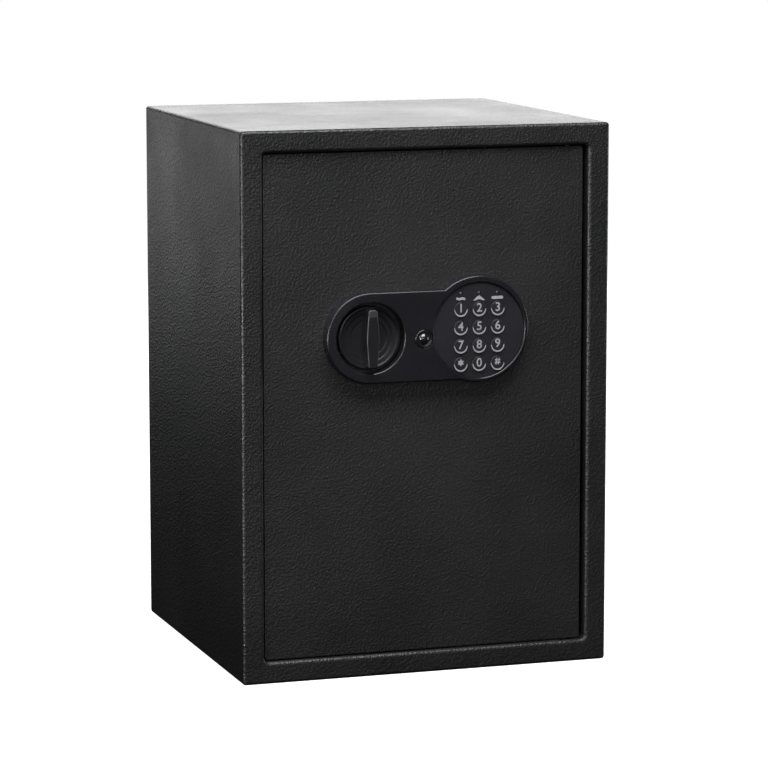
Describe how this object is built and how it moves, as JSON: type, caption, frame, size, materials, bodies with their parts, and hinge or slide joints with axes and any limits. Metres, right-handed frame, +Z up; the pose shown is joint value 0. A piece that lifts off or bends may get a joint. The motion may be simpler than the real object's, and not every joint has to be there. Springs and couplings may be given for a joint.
{
  "type": "in-room safe",
  "caption": "Black steel in-room safe: recessed hinged door, grip knob throwing round bolts, round push-button keypad, covered key override, battery holder inside the door, lift-out shelf.",
  "frame": {"origin": "middle of the cabinet footprint, on the surface it stands on", "axes": "+X to the viewer's right facing the door, +Y from the door to the back, +Z up"},
  "size_m": [0.35, 0.345, 0.5],
  "materials": {
    "cabinet_paint": "fine orange-peel textured black powder coat, satin",
    "faceplate_plastic": "smooth satin black moulded plastic",
    "knob_plastic": "smooth satin black moulded plastic",
    "key_plastic": "satin black with white printed characters",
    "white_print": "matt white print",
    "steel": "bright turned steel",
    "zinc": "zinc-plated pressed steel",
    "brass": "turned brass",
    "mat_rubber": "ribbed black rubber",
    "board": "green circuit board with solder mask",
    "lamp_lens": "smoked clear plastic",
    "red_plastic": "moulded red plastic",
    "cell_jacket": "plain shrink-wrap jacket, unmarked",
    "inner_plastic": "moulded black plastic",
    "lead_jacket": "black cable jacket"
  },
  "bodies": {
    "cabinet": {"cabinet_shell": "cabinet_paint", "back_panel": "cabinet_paint", "hinge_block_upper": "cabinet_paint", "hinge_block_lower": "cabinet_paint", "shelf_rail_left": "cabinet_paint", "shelf_rail_right": "cabinet_paint", "floor_mat": "mat_rubber"},
    "shelf": {"shelf": "cabinet_paint"},
    "door": {"door_plate": "cabinet_paint", "door_pan": "cabinet_paint", "hinge_lug_upper": "steel", "hinge_lug_lower": "steel", "bolt_guide_upper": "zinc", "bolt_guide_lower": "zinc", "pan_screw_1": "zinc", "pan_screw_2": "zinc", "pan_screw_3": "zinc", "pan_screw_4": "zinc", "faceplate": "faceplate_plastic", "keypad_plate": "faceplate_plastic", "keypad_sheet": "mat_rubber", "keypad_board": "board", "lamp_left": "lamp_lens", "lamp_middle": "lamp_lens", "lamp_right": "lamp_lens", "lock_body": "zinc", "solenoid_body": "zinc", "plunger_spring": "steel", "battery_tray": "inner_plastic", "battery_cell_1": "cell_jacket", "battery_cell_2": "cell_jacket", "battery_cell_3": "cell_jacket", "battery_cell_4": "cell_jacket", "battery_contacts_upper": "zinc", "battery_contacts_lower": "zinc", "lock_board": "board", "keypad_cable": "lead_jacket", "battery_lead": "lead_jacket"},
    "knob": {"knob": "knob_plastic", "knob_spindle": "zinc"},
    "bolts": {"bolt_carriage": "zinc", "bolt_upper": "steel", "bolt_lower": "steel"},
    "lock_plug": {"lock_plug": "brass"},
    "plunger": {"plunger": "steel"},
    "keyhole_cover": {"keyhole_cover": "faceplate_plastic"},
    "reset_button": {"reset_button": "red_plastic"},
    "battery_cover": {"battery_cover": "inner_plastic"},
    "key_1": {"key_1": "key_plastic"},
    "key_2": {"key_2": "key_plastic"},
    "key_3": {"key_3": "key_plastic"},
    "key_4": {"key_4": "key_plastic"},
    "key_5": {"key_5": "key_plastic"},
    "key_6": {"key_6": "key_plastic"},
    "key_7": {"key_7": "key_plastic"},
    "key_8": {"key_8": "key_plastic"},
    "key_9": {"key_9": "key_plastic"},
    "key_star": {"key_star": "key_plastic"},
    "key_0": {"key_0": "key_plastic"},
    "key_hash": {"key_hash": "key_plastic"}
  },
  "joints": [
    {"name": "door_hinge", "type": "hinge", "parent": "cabinet", "child": "door", "pos_m": [0.1385, -0.153, 0.25], "axis": [0, 0, 1], "range_deg": [0, 110]},
    {"name": "knob_turn", "type": "hinge", "parent": "door", "child": "knob", "pos_m": [-0.0565, -0.165, 0.312], "axis": [0, -1, 0], "range_deg": [0, 60]},
    {"name": "bolt_slide", "type": "slide", "parent": "door", "child": "bolts", "axis": [-1, 0, 0], "range_m": [0, 0.012]},
    {"name": "override_turn", "type": "hinge", "parent": "door", "child": "lock_plug", "pos_m": [-0.006, -0.155, 0.3095], "axis": [0, 1, 0], "range_deg": [0, 90]},
    {"name": "plunger_slide", "type": "slide", "parent": "door", "child": "plunger", "axis": [0, 0, -1], "range_m": [0, 0.0045], "deforming": ["plunger_spring"]},
    {"name": "keyhole_cover_pull", "type": "slide", "parent": "door", "child": "keyhole_cover", "axis": [0, -1, 0], "range_m": [0, 0.025]},
    {"name": "reset_press", "type": "slide", "parent": "door", "child": "reset_button", "axis": [0, -1, 0], "range_m": [0, 0.002], "stiffness_N_per_m": 300},
    {"name": "battery_cover_pull", "type": "slide", "parent": "door", "child": "battery_cover", "axis": [0, 1, 0], "range_m": [0, 0.018]},
    {"name": "shelf_lift", "type": "slide", "parent": "cabinet", "child": "shelf", "axis": [0, 0, 1], "range_m": [0, 0.06]},
    {"name": "key_1_press", "type": "slide", "parent": "door", "child": "key_1", "axis": [0, 1, 0], "range_m": [0, 0.001], "stiffness_N_per_m": 400},
    {"name": "key_2_press", "type": "slide", "parent": "door", "child": "key_2", "axis": [0, 1, 0], "range_m": [0, 0.001], "stiffness_N_per_m": 400},
    {"name": "key_3_press", "type": "slide", "parent": "door", "child": "key_3", "axis": [0, 1, 0], "range_m": [0, 0.001], "stiffness_N_per_m": 400},
    {"name": "key_4_press", "type": "slide", "parent": "door", "child": "key_4", "axis": [0, 1, 0], "range_m": [0, 0.001], "stiffness_N_per_m": 400},
    {"name": "key_5_press", "type": "slide", "parent": "door", "child": "key_5", "axis": [0, 1, 0], "range_m": [0, 0.001], "stiffness_N_per_m": 400},
    {"name": "key_6_press", "type": "slide", "parent": "door", "child": "key_6", "axis": [0, 1, 0], "range_m": [0, 0.001], "stiffness_N_per_m": 400},
    {"name": "key_7_press", "type": "slide", "parent": "door", "child": "key_7", "axis": [0, 1, 0], "range_m": [0, 0.001], "stiffness_N_per_m": 400},
    {"name": "key_8_press", "type": "slide", "parent": "door", "child": "key_8", "axis": [0, 1, 0], "range_m": [0, 0.001], "stiffness_N_per_m": 400},
    {"name": "key_9_press", "type": "slide", "parent": "door", "child": "key_9", "axis": [0, 1, 0], "range_m": [0, 0.001], "stiffness_N_per_m": 400},
    {"name": "key_star_press", "type": "slide", "parent": "door", "child": "key_star", "axis": [0, 1, 0], "range_m": [0, 0.001], "stiffness_N_per_m": 400},
    {"name": "key_0_press", "type": "slide", "parent": "door", "child": "key_0", "axis": [0, 1, 0], "range_m": [0, 0.001], "stiffness_N_per_m": 400},
    {"name": "key_hash_press", "type": "slide", "parent": "door", "child": "key_hash", "axis": [0, 1, 0], "range_m": [0, 0.001], "stiffness_N_per_m": 400}
  ],
  "couplings": [
    {"joint": "knob_turn", "follows": "bolt_slide", "rad_per_m": 87.266},
    {"joint": "override_turn", "follows": "plunger_slide", "rad_per_m": 349.07}
  ]
}
